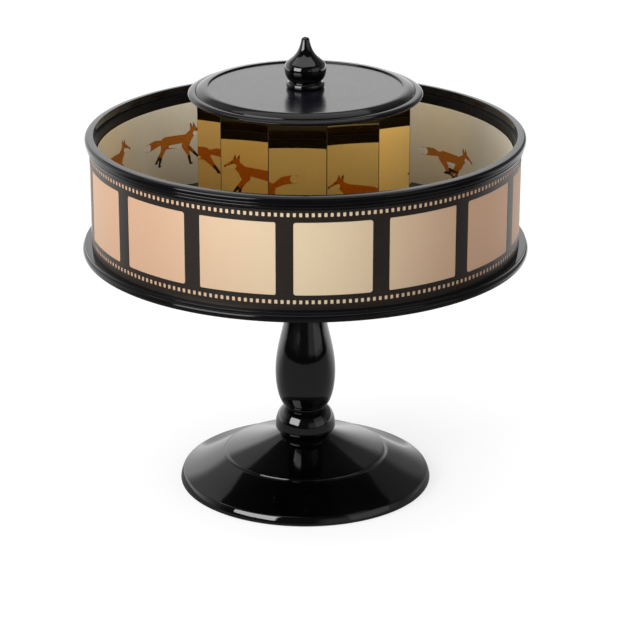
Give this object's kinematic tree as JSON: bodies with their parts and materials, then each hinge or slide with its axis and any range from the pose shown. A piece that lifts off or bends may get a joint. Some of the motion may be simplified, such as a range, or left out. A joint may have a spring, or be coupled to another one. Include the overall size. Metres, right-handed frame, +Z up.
{
  "type": "praxinoscope",
  "caption": "Table-top praxinoscope: an open drum with a picture strip round a block of mirrors under a turned cap and finial, spinning by hand on a turned pedestal.",
  "frame": {"origin": "middle of the foot's underside, on the table", "axes": "+Z up along the spindle, about which the drum turns; -Y is the front"},
  "size_m": [0.2836, 0.2836, 0.2969],
  "materials": {
    "gloss_lacquer": "gloss black lacquer on turned wood",
    "satin_lacquer": "satin black lacquer with turning lines",
    "raw_wood": "plain turned wood",
    "steel": "plain steel",
    "brass": "machined brass",
    "champagne_foil": "champagne metallic foil on card, satin",
    "film_print": "dark brown-black print, satin",
    "amber_mirror": "amber-toned mirror glass",
    "strip_paper": "cream card, printed",
    "felt": "wool felt"
  },
  "bodies": {
    "stand": {"felt_pad": "felt", "base": "gloss_lacquer", "base_bolt": "steel", "base_washer": "steel", "stem_insert": "brass", "stem": "gloss_lacquer", "spindle": "steel", "thrust_washer": "brass", "spindle_washer": "steel", "spindle_nut": "steel"},
    "drum": {"drum_floor": "satin_lacquer", "hub_boss": "raw_wood", "hub_bush": "brass", "hub_screws": "steel", "wall_hoop": "satin_lacquer", "foil_band": "champagne_foil", "film_band": "film_print", "rim_ring": "satin_lacquer", "mirror_core": "satin_lacquer", "core_screws": "steel", "cap": "satin_lacquer", "finial": "gloss_lacquer", "finial_stud": "steel", "stud_washer": "steel", "stud_nut": "steel", "mirror_01": "amber_mirror", "mirror_02": "amber_mirror", "mirror_03": "amber_mirror", "mirror_04": "amber_mirror", "mirror_05": "amber_mirror", "mirror_06": "amber_mirror", "mirror_07": "amber_mirror", "mirror_08": "amber_mirror", "mirror_09": "amber_mirror", "mirror_10": "amber_mirror", "mirror_11": "amber_mirror", "mirror_12": "amber_mirror"},
    "strip": {"picture_strip": "strip_paper"}
  },
  "joints": [
    {"name": "drum_spin", "type": "hinge", "parent": "stand", "child": "drum", "pos_m": [0, 0, 0.1596], "axis": [0, 0, 1], "continuous": true},
    {"name": "strip_lift", "type": "slide", "parent": "drum", "child": "strip", "axis": [0, 0, 1], "range_m": [0, 0.075]}
  ]
}
